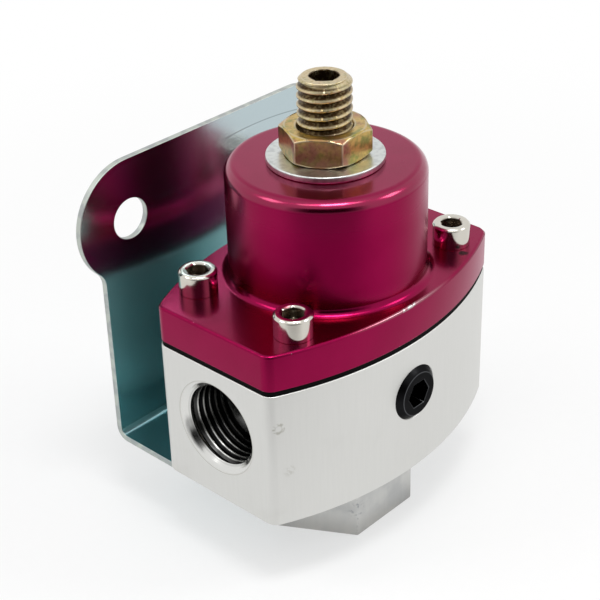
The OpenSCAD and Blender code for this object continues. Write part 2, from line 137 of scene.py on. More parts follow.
# Marks on the flange, on the body, on the hex fitting's corner and in the bracket.
NICK = mm(-1.89, -20.3, 49.5)
# The rub rim bounds a pale stretch of edge that is partly wear and partly a painted highlight.
NICK_RIM, RUB_HIGHLIGHT_RIM = mm(1.0, 3.2), mm(1.0, 15.0)
SPECK = mm(19.07, -15.59, 49.6)
SPECK_RIM, SPECK_FRAY = mm(1.15, 1.6), 1.2 * MM
STAIN_RING = mm(-27.9, -13.7, 35.25)
RING_RIMS = mm(0.4, 0.8, 0.9, 1.3)
BLOT = mm(-26.4, -14.6, 26.15)
BLOT_RIM = mm(0.3, 1.5)
SCAR = mm(-7.7, -13.3, 5.8)
SCAR_RIM = mm(0.7, 2.4)
SCRATCH_CENTRE = mm(10.3, 27.9, -14.5)
SCRATCH_RADIUS = 80.0 * MM
SCRATCH_WIDTH, SCRATCH_START = mm(0.05, 0.17), mm(1.0, 4.0)

# Heights, radii and depths between which a finish changes: on the dome, in the outlets, on the
# hex fitting, the bracket, the adjusting screw and its nut.
DOME_WALL = mm(51, 54, 62, 67.4)
DOME_EDGE = mm(68.7, 69.2, 70.3, 70.55)
DOME_TOP = mm(70.4, 70.55)
# In the outlets, painted shade darkens the thread roots past the bevel and everything deeper in.
PORT_ROOTS, PORT_RIM = mm(7.62, 7.88), mm(8.8, 9.0)
PORT_BURR = mm(8.78, 8.9, 9.0, 9.12)
BEVEL_DEPTH, SHADE_DEPTH = mm(0.9, 1.5), mm(2.0, 9.0)
LOW_DARK_END, LOW_DARK_WAVE = mm(3.0, 8.0), 6.0 * MM
INNER_FACE = mm(0.8, 0.4)
FILM_END, FILM_WAVE = mm(44, 78), 24 * MM
# Heights above the body's floor level within which the bracket's foot gets painted shade.
FOOT_SHADE_END = mm(0.6, 1.8)
KEY_HOLE, THREAD_ROOTS, THREAD_CRESTS = mm(2.5, 2.8), mm(4.45, 4.85), mm(4.78, 4.86)
ROOT_WAVE = 0.3 * MM
CLEAN_END = mm(1.0, 0.7)
NUT_SIDE = mm(5.2, 7.0)

# Way to the nut's side whose chromate is rosiest.
ROSE_SIDE = (-0.80, -0.60, 0.0)

# Tints of the light that grazes the dyed and the blackened skin.
RED_GRAZE = (0.97, 0.86, 0.90, 1.0)
BLACK_GRAZE = (0.55, 0.55, 0.55, 1.0)

# Threads: width gained per depth, the pitch's parts per flat crest, and how far cutters overlap.
FLANK = 2 * math.tan(math.radians(30))
CREST_PARTS = 7
TAP_BITE, DIE_BITE = mm(0.08, 0.06)

# Port threads: their depths, how far behind the mouth they start, and a turn that hides their
# start in the photo's view.
OUTLET_DEPTH, INLET_DEPTH = mm(10.5, 9.0)
TAP_START = 1.7 * MM
TAP_TURN = math.radians(135)

# Cap screws: their sizes, their axes and the deck under their heads.
HEAD_RADIUS, HEAD_HEIGHT, HEAD_BEVEL = mm(3.43, 4.17, 0.4)
SHANK_RADIUS, SHANK_BEVEL = mm(2.085, 0.4)
KEY_FLATS, KEY_DEPTH = mm(3.57, 2.2)
KEY_LEAD, LEAD_DEPTH = mm(0.15, 0.25)
KEY_TIP, TIP_DEPTH = mm(0.2, 0.5)
# Radii within which the cap screws' key sockets get painted shade.
KEY_SOCKET_SHADE = mm(1.75, 2.1)
SCREW_X, SCREW_Y = SCREWS_HIGH.x - HEAD_RADIUS, SCREWS_HIGH.y - HEAD_RADIUS
DECK = SCREWS_HIGH.z - HEAD_HEIGHT
RING_POINTS = 96

# Inner pieces: the share of the main spring that stays put, and the diaphragm's disc.
SPRING_STILL = 0.25
STEM_HOLE, DISC_MARGIN, CUT_PAST = mm(2.42, 0.1, 1.0)

# Bevel profiles, where shading breaks, the depth of a full bump, and how near points are one.
ROUND = 0.5
FLAT = 0.25
SHARP_ANGLE = math.radians(35)
BUMP_DEPTH = 0.02 * MM
WELD = 0.0005 * MM

# Names: the attribute that marks worn edges, the tree that cuts threads, and the finishes'
# ending, because the frame's plain materials have the slots' own names.
WEAR = "wear"
GROOVE = "Helical groove"
FINISH_ENDING = "_finish"


def linear(red, green, blue):
    """A screen colour, 0 to 255 each, as the linear colour that a shader takes."""
    return tuple(
        c / 12.92 if c <= 0.04045 else ((c + 0.055) / 1.055) ** 2.4
        for c in (red / 255, green / 255, blue / 255)
    )


def length(name, description, millimetres):
    """A size that a user can change."""
    return FloatProperty(
        name=name, description=description, default=millimetres * MM, unit="LENGTH", precision=5
    )


def colour(name, description, *screen):
    """A colour that a user can change."""
    return FloatVectorProperty(
        name=name, description=description, default=linear(*screen), subtype="COLOR"
    )


class RegulatorSizes(bpy.types.PropertyGroup):
    """Fine sizes that the CAD model leaves to the finished pieces."""

    flange_round: length("Flange edge", "Bevel of the bonnet flange's edges", 0.55)
    body_round: length("Body edge", "Rounding of the body block's edges", 0.25)
    sheet_round: length("Sheet edge", "Rounding of the bracket's cut edges", 0.12)
    hardware_round: length("Hardware edge", "Rounding of small hardware edges", 0.13)
    nut_round: length("Nut edge", "Rounding of the lock nut's edges", 0.26)
    fitting_round: length("Fitting edge", "Rounding of the hex fitting's edges", 0.32)
    screw_pitch: length("Screw pitch", "Thread pitch of the adjusting screw", 1.5875)
    screw_depth: length("Screw thread depth", "Depth of the adjusting screw's thread", 0.9)
    pipe_pitch: length("Pipe pitch", "Thread pitch of the pipe ports", 1.4111)
    pipe_depth: length("Pipe thread depth", "Depth of the pipe thread at a port's mouth", 0.7)
    pipe_taper: FloatProperty(
        name="Pipe taper", description="Radius lost per length of pipe thread", default=1 / 32
    )
    key_seed: IntProperty(name="Key seed", description="Seed of the key angles", default=4)


class RegulatorFinishes(bpy.types.PropertyGroup):
    """Colours of the regulator's finishes."""

    red_dye: colour("Red dye", "Anodised red of the bonnet", 148, 6, 68)
    red_deep: colour("Deep red", "Denser dye in the bonnet's clouds", 130, 2, 56)
    machined: colour("Machined aluminium", "Bare aluminium of the body", 216, 216, 213)
    stain: colour("Stain", "Fluid stains on the body", 172, 170, 160)
    drawn: colour("Drawn aluminium", "Dull aluminium of the hex fitting", 206, 206, 203)
    zinc: colour("Clear zinc", "Bright zinc of the bracket", 184, 199, 203)
    zinc_blue: colour("Zinc blue", "Passivation tint of the bracket", 174, 221, 226)
    washer: colour("Washer zinc", "Clear zinc of the washer", 212, 214, 211)
    chromate_gold: colour("Chromate gold", "Yellow chromate of screw and nut", 196, 166, 92)
    chromate_rose: colour("Chromate rose", "Rose tint in the yellow chromate", 158, 108, 86)
    chromate_olive: colour("Chromate olive", "Olive tint in the yellow chromate", 138, 138, 68)
    chromate_pale: colour("Rubbed chromate", "Chromate on edges and crests", 200, 187, 158)
    nickel: colour("Nickel", "Nickel plate of the cap screws", 205, 200, 189)
    # Black oxide also serves as the painted shade in the outlets and on the bracket's foot.
    oxide: colour("Black oxide", "Black oxide of the gauge plug", 18, 18, 19)
    rubber: colour("Rubber", "Black rubber of diaphragm and seals", 9, 9, 9)
    brass: colour("Brass", "Turned brass of the valve", 205, 170, 98)
    # The key socket colour paints shade in the cap screws' key sockets; it also darkens the chromate's
    # mottle and the fitting's lower end.
    socket: colour("Key socket", "Dark oil in the cap screws' key sockets", 78, 60, 38)
    grime: colour("Thread grime", "Old grease in the screw's thread", 58, 40, 18)
    edge: colour("Sheet edge", "Bare cut edge of the bracket", 188, 192, 184)
    steel: colour("Spring steel", "Plain steel inside the bonnet", 150, 152, 156)
    floor: colour("Floor", "Pale studio floor", 242, 242, 242)


def sizes():
    """The fine sizes as the user has set them."""
    return bpy.context.scene.regulator_sizes


def tint(name):
    """A finish colour with its alpha, ready for a colour socket."""
    return (*getattr(bpy.context.scene.regulator_finishes, name), 1.0)


class Value:
    """A node socket that Python arithmetic can be done on."""

    def __init__(self, graph, socket):
        self.graph = graph
        self.socket = socket

    def math(self, operation, *terms):
        return self.graph.node("ShaderNodeMath", {"operation": operation}, dict(enumerate(terms)))

    def __add__(self, other):
        return self.math("ADD", self, other)

    def __sub__(self, other):
        return self.math("SUBTRACT", self, other)

    def __rsub__(self, other):
        return self.math("SUBTRACT", other, self)

    def __mul__(self, other):
        return self.math("MULTIPLY", self, other)

    def __truediv__(self, other):
        return self.math("DIVIDE", self, other)

    def __abs__(self):
        return self.math("ABSOLUTE", self)

    __radd__ = __add__
    __rmul__ = __mul__


class Graph:
    """A node tree that is written one node at a time."""

    def __init__(self, tree):
        self.tree = tree

    def node(self, kind, settings=None, inputs=None, output=0):
        """Adds a node, sets it up, then gives its sockets their values or links."""
        node = self.tree.nodes.new(kind)
        for name, setting in (settings or {}).items():
            setattr(node, name, setting)
        for key, given in (inputs or {}).items():
            if isinstance(given, Value):
                self.tree.links.new(given.socket, node.inputs[key])
            else:
                node.inputs[key].default_value = given
        return Value(self, node.outputs[output]) if len(node.outputs) else node


class Finish(Graph):
    """The shader of one finish, patterned in Object coordinates."""

    def __init__(self, name):
        self.material = bpy.data.materials.new(name + FINISH_ENDING)
        self.material.use_nodes = True
        super().__init__(self.material.node_tree)
        self.tree.nodes.clear()
        self.place = self.node("ShaderNodeTexCoord", output="Object")

    def vector(self, operation, *terms, output="Vector"):
        """Vector maths on places and ways."""
        return self.node(
            "ShaderNodeVectorMath", {"operation": operation}, dict(enumerate(terms)), output
        )

    def noise(self, scale, detail, stretch=(1.0, 1.0, 1.0), shift=(0.0, 0.0, 0.0)):
        """Noise from 0 to 1, with this many features to the metre."""
        place = self.node(
            "ShaderNodeMapping", inputs={"Vector": self.place, "Location": shift, "Scale": stretch}
        )
        return self.node(
            "ShaderNodeTexNoise", inputs={"Vector": place, "Scale": scale, "Detail": detail}
        )

    def rings(self, scale, detail):
        """Noise that only changes with the distance from the regulator's axis."""
        return self.node(
            "ShaderNodeTexNoise", {"noise_dimensions": "1D"},
            {"W": self.radius(), "Scale": scale, "Detail": detail},
        )

    def step(self, value, low, high):
        """0 below low, 1 above high, smooth between."""
        return self.node(
            "ShaderNodeMapRange", {"interpolation_type": "SMOOTHSTEP"},
            {"Value": value, "From Min": low, "From Max": high},
        )

    def fade(self, value, low, high):
        """1 below low, 0 above high, smooth between."""
        return 1.0 - self.step(value, low, high)

    def band(self, value, low, start, end, high):
        """1 from start to end, 0 outside low and high, smooth between."""
        return self.step(value, low, start) * self.fade(value, end, high)

    def mix(self, factor, first, second):
        """A colour between two others, each a socket or the name of a finish colour."""
        first, second = (tint(c) if isinstance(c, str) else c for c in (first, second))
        return self.node(
            "ShaderNodeMix", {"data_type": "RGBA"}, {0: factor, 6: first, 7: second}, output=2
        )

    def along(self, axis):
        """How far along an axis of the frame, in metres."""
        return self.node("ShaderNodeSeparateXYZ", inputs={"Vector": self.place}, output=axis)

    def away(self, point, place=None):
        """Distance from a point of the part, in metres."""
        return self.vector("DISTANCE", place or self.place, point, output="Value")

    def radius(self, across=(1.0, 1.0, 0.0), centre=(0.0, 0.0, 0.0), place=None):
        """Distance from the regulator's axis, or from another one, in metres."""
        return self.away(centre, self.vector("MULTIPLY", place or self.place, across))

    def wear(self):
        """1 on rounded edges, 0 elsewhere."""
        return self.node("ShaderNodeAttribute", {"attribute_name": WEAR}, output="Fac")

    def shade(self, height, bump, metal=1.0, **sockets):
        """Ends the tree in one Principled shader with a bump."""
        inputs = {name.replace("_", " "): given for name, given in sockets.items()}
        inputs["Metallic"] = metal
        inputs["Normal"] = self.node("ShaderNodeBump", inputs={
            "Strength": bump, "Distance": BUMP_DEPTH, "Height": height,
        })
        self.surface(self.node("ShaderNodeBsdfPrincipled", inputs=inputs))
        return self.material

    def surface(self, shader):
        """Makes a shader the material's surface."""
        self.node("ShaderNodeOutputMaterial", inputs={"Surface": shader})


def red_anodised():
    """Satin dyed anodising under a clear sealed skin, nicked along the flange's edge, where a pale rubbed
    stretch is partly real wear and partly a painted highlight.
    """
    f = Finish("red_anodised")
    cloud = f.noise(140, 4)
    grain = f.noise(7000, 2)
    flecks = f.noise(900, 3)
    nick = f.away(NICK)
    near = f.fade(nick, *NICK_RIM)
    chips = f.step(flecks + near * 0.28, 0.70, 0.75) * f.wear()
    # Pale rubbed edge near the nick: partly real wear, partly a painted highlight.
    rubbed_and_highlit = f.fade(nick, *RUB_HIGHLIGHT_RIM) * f.wear()
    speck = f.fade(f.away(SPECK) + flecks * SPECK_FRAY, *SPECK_RIM)
    scuff = f.step(f.noise(420, 5, shift=(3.1, 0.0, 1.7)), 0.70, 0.78)
    height = f.along("Z")
    wall = f.band(height, *DOME_WALL)
    edge = f.band(height, *DOME_EDGE)
    top = f.step(height, *DOME_TOP)
    dye = f.mix(cloud, "red_dye", "red_deep")
    worn = f.mix(chips * (0.5 + near * 0.4) + rubbed_and_highlit * 0.35, dye, "drawn")
    return f.shade(
        height=grain, bump=0.04,
        Base_Color=f.mix(speck * 0.9, worn, "rubber"),
        Roughness=0.19 + cloud * 0.05 + wall * 0.12 + scuff * 0.06 + grain * 0.03 + chips * 0.1,
        Coat_Weight=0.10 - scuff * 0.06 - wall * 0.06 - speck * 0.1 + edge * 0.6 + top * 0.1,
        Coat_Roughness=0.1, Specular_Tint=RED_GRAZE,
    )


def machined_aluminium():
    """Fine upright grain with faint stains at the front corner, bright bevelled outlets, and painted shade
    in the outlets' thread roots and deeper in.
    """
    f = Finish("machined_aluminium")
    grain = f.noise(2600, 3, stretch=(1.0, 1.0, 0.05))
    fine = f.noise(9000, 2)
    blotch = f.noise(90, 4, shift=(0.3, 1.1, 0.0))
    stain = f.band(f.away(STAIN_RING), *RING_RIMS)
    mark = f.fade(f.away(BLOT), *BLOT_RIM)
    port = MOUNTS["outlet_port_left"]["pos_m"][2]
    bore = f.radius((0.0, 1.0, 1.0), (0.0, 0.0, port))
    tapped = f.fade(bore, *PORT_RIM)
    burr = f.band(bore, *PORT_BURR)
    depth = BODY_HIGH.x - abs(f.along("X"))
    deep = f.step(depth, *BEVEL_DEPTH)
    # Painted shade: past the bevel the thread roots, and everything deeper in, darken towards black oxide.
    painted_root_shade = f.step(bore, *PORT_ROOTS) * deep * 0.9
    dark = (painted_root_shade + f.step(depth, *SHADE_DEPTH) * 0.8) * tapped
    speckle = f.step(f.noise(1500, 3), 0.44, 0.6)
    dirt = (stain * 0.7 + mark * 0.35) * speckle + f.step(blotch, 0.6, 0.85) * 0.2 + burr * 0.4
    metal = f.mix(grain * 0.25, "machined", "drawn")
    return f.shade(
        height=grain * 0.5 + fine * 0.5, bump=0.06,
        Base_Color=f.mix(dark, f.mix(dirt, metal, "stain"), "oxide"),
        Roughness=0.36 + grain * 0.1 + blotch * 0.08 + dirt * 0.1 - tapped * (0.28 - deep * 0.06),
    )


def fitting_aluminium():
    """Dull drawn bar with long upright draw lines, small dents and a lower end that turns darker and warmer
    towards the bottom.
    """
    f = Finish("fitting_aluminium")
    lines = f.noise(1900, 4, stretch=(1.0, 1.0, 0.03))
    blotch = f.noise(200, 4)
    pits = f.step(f.noise(2400, 2, shift=(0.0, 2.0, 0.5)), 0.68, 0.76)
    struck = f.wear() * 0.5 + f.fade(f.away(SCAR), *SCAR_RIM) * 0.8
    dents = f.step(f.noise(1300, 4, shift=(0.7, 0.0, 0.2)), 0.5, 0.62) * struck
    # Darker and warmer towards the bottom.
    lower_darkening = f.fade(f.along("Z") + blotch * LOW_DARK_WAVE, *LOW_DARK_END)
    dull = lines * 0.14 + f.step(blotch, 0.35, 0.7) * 0.34 + dents * 0.7
    metal = f.mix(lower_darkening * 0.22, f.mix(dull, "drawn", "steel"), "socket")
    return f.shade(
        height=lines * 0.8 - pits * 0.6 - dents, bump=0.25,
        Base_Color=metal, Roughness=0.38 + blotch * 0.14 + pits * 0.1,
    )


def zinc_sheet():
    """Bright passivated zinc on rolled sheet, bare along its cut edges, with one long scratch and painted
    shade on the foot and its bend.
    """
    f = Finish("zinc_sheet")
    cloud = f.noise(70, 4)
    rolling = f.noise(2200, 3, stretch=(1.0, 1.0, 0.04))
    specks = f.step(f.noise(2600, 2, shift=(1.0, 0.4, 2.0)), 0.74, 0.80)
    patch = f.step(f.noise(500, 4, shift=(0.5, 0.3, 0.1)), 0.42, 0.62)
    inside = f.fade(f.along("Y"), *(BRACKET_HIGH.y - drop for drop in INNER_FACE))
    height = f.along("Z")
    thick = inside * f.fade(height + cloud * FILM_WAVE, *FILM_END)
    # Painted shade: the foot and the bend above it darken towards black oxide.
    foot = f.fade(height, *(BODY_LOW.z + rise for rise in FOOT_SHADE_END))
    arc = f.fade(abs(f.away(SCRATCH_CENTRE) - SCRATCH_RADIUS), *SCRATCH_WIDTH)
    scratch = arc * f.step(f.along("X"), *SCRATCH_START)
    film = f.mix(thick, "zinc", "zinc_blue")
    scratched_and_shaded = f.mix(scratch * 0.34 + foot * 0.3, film, "oxide")
    bare = f.mix(patch * 0.6, "edge", "steel")
    marks = specks * 0.08 + scratch * 0.06 + f.wear() * 0.25
    return f.shade(
        height=rolling * 0.5 + scratch * 0.5, bump=0.08,
        Base_Color=f.mix(f.wear() * 0.9 + specks * 0.1, scratched_and_shaded, bare),
        Roughness=0.13 + cloud * 0.08 + rolling * 0.03 + marks,
    )


def washer_zinc():
    """Clear zinc on a stamped washer, rubbed in rings under the nut."""
    f = Finish("washer_zinc")
    rings = f.rings(9000, 3)
    cloud = f.noise(260, 4)
    patina = f.step(f.noise(1000, 5, shift=(0.6, 0.2, 0.0)), 0.42, 0.68)
    film = f.mix(patina * 0.4, f.mix(cloud * 0.3, "washer", "zinc"), "steel")
    return f.shade(
        height=rings * 0.4 + f.noise(5000, 2) * 0.6, bump=0.1,
        Base_Color=film, Roughness=0.24 + cloud * 0.14 + rings * 0.06,
    )


def yellow_zinc():
    """Yellow chromate that drifts between gold, rose and olive, with grease in the thread."""
    f = Finish("yellow_zinc")
    drift = f.noise(210, 4)
    hue = f.noise(520, 5, shift=(0.8, 0.1, 0.4))
    mottle = f.step(f.noise(1900, 4, shift=(0.3, 0.9, 0.2)), 0.46, 0.66)
    grain = f.noise(5200, 3)
    facing = f.step(f.vector("DOT_PRODUCT", f.place, ROSE_SIDE, output="Value"), *NUT_SIDE)
    rose = f.step(drift + facing * 0.22, 0.50, 0.76)
    film = f.mix(rose, "chromate_gold", "chromate_rose")
    film = f.mix(f.step(hue, 0.48, 0.66) * (1.0 - rose * 0.6), film, "chromate_olive")
    film = f.mix(mottle * 0.28, film, "socket")
    around = f.radius()
    bolt = f.fade(around, *THREAD_CRESTS)
    pale = f.mix(f.wear() * 0.6 + bolt * (0.75 - mottle * 0.45), film, "chromate_pale")
    end = f.step(f.along("Z"), *(ADJUSTER_HIGH.z - drop for drop in CLEAN_END))
    clean = end * f.step(around, *KEY_HOLE)
    grime = f.fade(around + grain * ROOT_WAVE, *THREAD_ROOTS) * (1.0 - clean)
    return f.shade(
        height=grain, bump=0.2,
        Base_Color=f.mix(grime * (1.0 - mottle * 0.25), pale, "grime"),
        Roughness=0.22 + drift * 0.12 + grain * 0.08 + grime * 0.15,
        Coat_Weight=0.25 - grime * 0.2, Coat_Roughness=0.2,
    )


def nickel_screws():
    """Bright nickel plate over a headed blank, with faint bands round the head and painted shade in the key
    sockets.
    """
    f = Finish("nickel_screws")
    bands = f.noise(3000, 3, stretch=(0.08, 0.08, 1.0))
    haze = f.noise(500, 4)
    metal = f.mix(haze * 0.3, "nickel", "washer")
    screw = f.radius(centre=(SCREW_X, SCREW_Y, 0.0), place=f.vector("ABSOLUTE", f.place))
    # Painted shade: the key sockets darken towards the key socket colour.
    painted_socket_shade = f.fade(screw, *KEY_SOCKET_SHADE)
    return f.shade(
        height=bands, bump=0.06,
        Base_Color=f.mix(painted_socket_shade * 0.85, metal, "socket"),
        Roughness=0.08 + haze * 0.06 + bands * 0.03 + painted_socket_shade * 0.12,
    )


def black_steel():
    """Black oxide, a little cloudy and rubbed bright along the rims."""
    f = Finish("black_steel")
    grain = f.noise(4200, 3)
    cloud = f.noise(320, 4)
    film = f.mix(cloud * 0.03 + f.wear() * 0.3, "oxide", "steel")
    return f.shade(
        height=grain, bump=0.2,
        Base_Color=film, Roughness=0.2 + cloud * 0.12 + grain * 0.06,
        Specular_Tint=BLACK_GRAZE,
    )


def black_rubber():
    """Rubber on a woven ply, whose layers show at the clamped edge."""
    f = Finish("black_rubber")
    plies = f.noise(3400, 2, stretch=(0.06, 0.06, 1.0))
    grain = f.noise(5000, 3)
    film = f.mix(grain * 0.2, "rubber", "oxide")
    return f.shade(
        height=plies * 0.6 + grain * 0.4, bump=0.5, metal=0.0,
        Base_Color=film, Roughness=0.55 + plies * 0.2, Specular_IOR_Level=0.04,
    )


def turned_metal(name, main, second, roughness):
    """Metal turned on a lathe, with fine tool rings."""
    f = Finish(name)
    tool = f.noise(6000, 2, stretch=(0.05, 0.05, 1.0))
    rings = f.rings(8000, 2)
    cloud = f.noise(300, 3)
    return f.shade(
        height=tool * 0.5 + rings * 0.5, bump=0.15,
        Base_Color=f.mix(cloud * 0.4, main, second),
        Roughness=roughness + rings * 0.08 + tool * 0.06,
    )


def valve_brass():
    """Turned brass of the valve."""
    return turned_metal("valve_brass", "brass", "chromate_gold", 0.22)


def inner_steel():
    """Plain steel of the springs and plates."""
    return turned_metal("inner_steel", "steel", "drawn", 0.28)


FINISHES = {build.__name__: build for build in (
    red_anodised, machined_aluminium, fitting_aluminium, zinc_sheet, washer_zinc, yellow_zinc,
    nickel_screws, black_steel, black_rubber, valve_brass, inner_steel,
)}


def finish(slot):
    """The material of a record slot, made the first time it is asked for."""
    return bpy.data.materials.get(slot + FINISH_ENDING) or FINISHES[slot]()


def cad_copy(node, merge=0.001 * MM):
    """A CAD node's mesh as welded faces, with its flat triangles joined."""
    bm = bmesh.new()
    bm.from_mesh(frame["nodes"][node].data)
    bmesh.ops.remove_doubles(bm, verts=bm.verts, dist=merge)
    bmesh.ops.dissolve_limit(
        bm, angle_limit=math.radians(0.1), verts=bm.verts, edges=bm.edges,
        use_dissolve_boundaries=False,
    )
    return bm


def sharp_edges(bm, angle=30.0, keep=lambda *ends: True):
    """Edges that turn more than this angle, and whose two ends a test keeps."""
    limit = math.radians(angle)
    return [
        edge for edge in bm.edges
        if edge.calc_face_angle(0.0) > limit and keep(*(vert.co for vert in edge.verts))
    ]


def round_edges(bm, edges, width, segments=3, profile=ROUND):
    """Rounds or bevels edges and marks the middle of the new faces as worn."""
    wear = bm.verts.layers.float.get(WEAR) or bm.verts.layers.float.new(WEAR)
    made = bmesh.ops.bevel(
        bm, geom=list(set(edges)), offset=width, offset_type="OFFSET", segments=segments,
        profile=profile, affect="EDGES", clamp_overlap=False, miter_outer="SHARP",
        miter_inner="SHARP",
    )
    rounded = set(made["faces"])
    for vert in made["verts"]:
        vert[wear] = float(rounded.issuperset(vert.link_faces))


def on_levels(levels, reach):
    """A test for edges that lie on one of these heights, further out than a reach."""
    def keep(*ends):
        level = any(all(abs(end.z - z) < LEVEL_GAP for end in ends) for z in levels)
        return level and all(end.xy.length > reach for end in ends)
    return keep


def linked(name, data):
    """A new object in the scene."""
    made = bpy.data.objects.new(name, data)
    bpy.context.scene.collection.objects.link(made)
    return made


def plain_mesh(name, bm):
    """A mesh that takes over what was built."""
    mesh = bpy.data.meshes.new(name)
    bm.to_mesh(mesh)
    bm.free()
    return mesh


def mesh_object(name, bm):
    """What was built as a new object."""
    return linked(name, plain_mesh(name, bm))


def baked(source):
    """The evaluated object as a plain mesh, which has to have faces."""
    bpy.context.view_layer.update()
    graph = bpy.context.evaluated_depsgraph_get()
    mesh = bpy.data.meshes.new_from_object(
        source.evaluated_get(graph), preserve_all_data_layers=True, depsgraph=graph
    )
    if len(mesh.polygons) == 0:
        raise RuntimeError(f"{source.name} came out without faces")
    return mesh


def carve(target, cutter):
    """Cuts a closed mesh out of an object, for good."""
    tool = linked("cutter", cutter)
    cut = target.modifiers.new("cut", "BOOLEAN")
    cut.operation = "DIFFERENCE"
    cut.solver = "EXACT"
    cut.object = tool
    carved = baked(target)
    target.modifiers.clear()
    target.data = carved
    bpy.data.objects.remove(tool)


def block_normal(point):
    """The outward normal of the body block at a point of its surface, or None inside it."""
    for level, side in ((BODY_LOW.z, -1.0), (BODY_HIGH.z, 1.0)):
        if abs(point.z - level) < FLAT_GAP:
            return Vector((0.0, 0.0, side))
    half, drop = BODY_HIGH.x, FACE_ARC - BODY_HIGH.y
    reach = half - CORNER_ROUND
    corner = Vector((reach, math.sqrt((FACE_ARC - CORNER_ROUND) ** 2 - reach ** 2) - drop))
    at = Vector((abs(point.x), abs(point.y)))
    if at.y <= corner.y:
        way, radius = Vector((at.x, 0.0)), half
    elif at.x > FACE_ARC * reach / (FACE_ARC - CORNER_ROUND):
        way, radius = at - corner, CORNER_ROUND
    else:
        way, radius = at + Vector((0.0, drop)), FACE_ARC
    if abs(way.length - radius) > OUTLINE_GAP:
        return None
    way.normalize()
    return Vector((math.copysign(way.x, point.x), math.copysign(way.y, point.y), 0.0))


def true_normals(mesh):
    """Gives the body's outer faces the normals of the true outline, up to its rounded edges."""
    normals = [Vector()] * len(mesh.loops)
    for polygon in mesh.polygons:
        for i in polygon.loop_indices:
            normal = block_normal(mesh.vertices[mesh.loops[i].vertex_index].co)
            if normal and normal.dot(polygon.normal) > NORMAL_MATCH:
                normals[i] = normal
    mesh.normals_split_custom_set(normals)


def complete(made, node, body, slot):
    """Shades and finishes a piece and puts it on a body, or between two for a tuple."""
    mesh = made.data
    mesh.materials.clear()
    mesh.materials.append(finish(slot))
    mesh.polygons.foreach_set("material_index", [0] * len(mesh.polygons))
    mesh.polygons.foreach_set("use_smooth", [True] * len(mesh.polygons))
    mesh.set_sharp_from_angle(angle=SHARP_ANGLE)
    if node == "body":
        true_normals(mesh)
    elif isinstance(body, str):
        made.modifiers.new("even normals", "WEIGHTED_NORMAL").keep_sharp = True
    if isinstance(body, str):
        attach(made, body)
    else:
        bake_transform(made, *body)
    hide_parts(node)


def rounded_piece(name, node, body, slot, width, angle=25.0, segments=3):
    """A finished piece that is a CAD node with all its sharp edges rounded."""
    bm = cad_copy(node)
    round_edges(bm, sharp_edges(bm, angle), width, segments)
    complete(mesh_object(name, bm), node, body, slot)


def merge_and_turn(bm):
    """Merges doubled points and turns all faces outwards."""
    bmesh.ops.remove_doubles(bm, verts=bm.verts, dist=WELD)
    bmesh.ops.recalc_face_normals(bm, faces=bm.faces)


def loft(rings):
    """A closed mesh through rings of points, from a pole or end cap to another."""
    bm = bmesh.new()
    loops = [[bm.verts.new(point) for point in points] for points in rings]
    for low, high in zip(loops, loops[1:]):
        for i in range(len(low)):
            j = (i + 1) % len(low)
            bm.faces.new((low[i], low[j], high[j], high[i]))
    bm.faces.new(list(reversed(loops[0])))
    bm.faces.new(loops[-1])
    merge_and_turn(bm)
    return bm


def rod(radius, low, high):
    """A closed mesh between two heights on the regulator's axis."""
    return plain_mesh("rod", loft([circle(radius, low), circle(radius, high)]))


def part_of(node, level, above):
    """What lies above or below a level of a CAD node, closed at the cut."""
    bm = cad_copy(node)
    cut = bmesh.ops.bisect_plane(
        bm, geom=[*bm.verts, *bm.edges, *bm.faces], dist=0.0001 * MM, plane_co=(0.0, 0.0, level),
        plane_no=(0.0, 0.0, 1.0), clear_outer=not above, clear_inner=above,
    )
    rims = [item for item in cut["geom_cut"] if isinstance(item, bmesh.types.BMEdge)]
    bmesh.ops.edgenet_fill(bm, edges=rims)
    bmesh.ops.recalc_face_normals(bm, faces=bm.faces)
    return bm


def ring(z, radius):
    """Points round the axis, whose radius is a function of their angle."""
    angles = [2 * math.pi * i / RING_POINTS for i in range(RING_POINTS)]
    return [(radius(a) * math.cos(a), radius(a) * math.sin(a), z) for a in angles]


def circle(radius, z):
    """A round ring of points."""
    return ring(z, lambda angle: radius)


def hexagon(flats, z):
    """A hexagonal ring of points, a corner at the first."""
    return ring(z, lambda angle: flats / 2 / math.cos(angle % (math.pi / 3) - math.pi / 6))


def new_tree(name, **inputs):
    """An empty geometry tree with these named inputs and one geometry output."""
    tree = bpy.data.node_groups.new(name, "GeometryNodeTree")
    for label, kind in inputs.items():
        tree.interface.new_socket(
            name=label.replace("_", " "), in_out="INPUT", socket_type=f"NodeSocket{kind}"
        )
    tree.interface.new_socket(name="Geometry", in_out="OUTPUT", socket_type="NodeSocketGeometry")
    graph = Graph(tree)
    return graph, lambda label: graph.node("NodeGroupInput", output=label)


def end_tree(graph, geometry, material):
    """Ends a tree in Realize Instances and Set Material."""
    solid = graph.node("GeometryNodeRealizeInstances", inputs={"Geometry": geometry})
    painted = graph.node(
        "GeometryNodeSetMaterial", inputs={"Geometry": solid, "Material": material}
    )
    graph.node("NodeGroupOutput", inputs={"Geometry": painted})
    return graph.tree


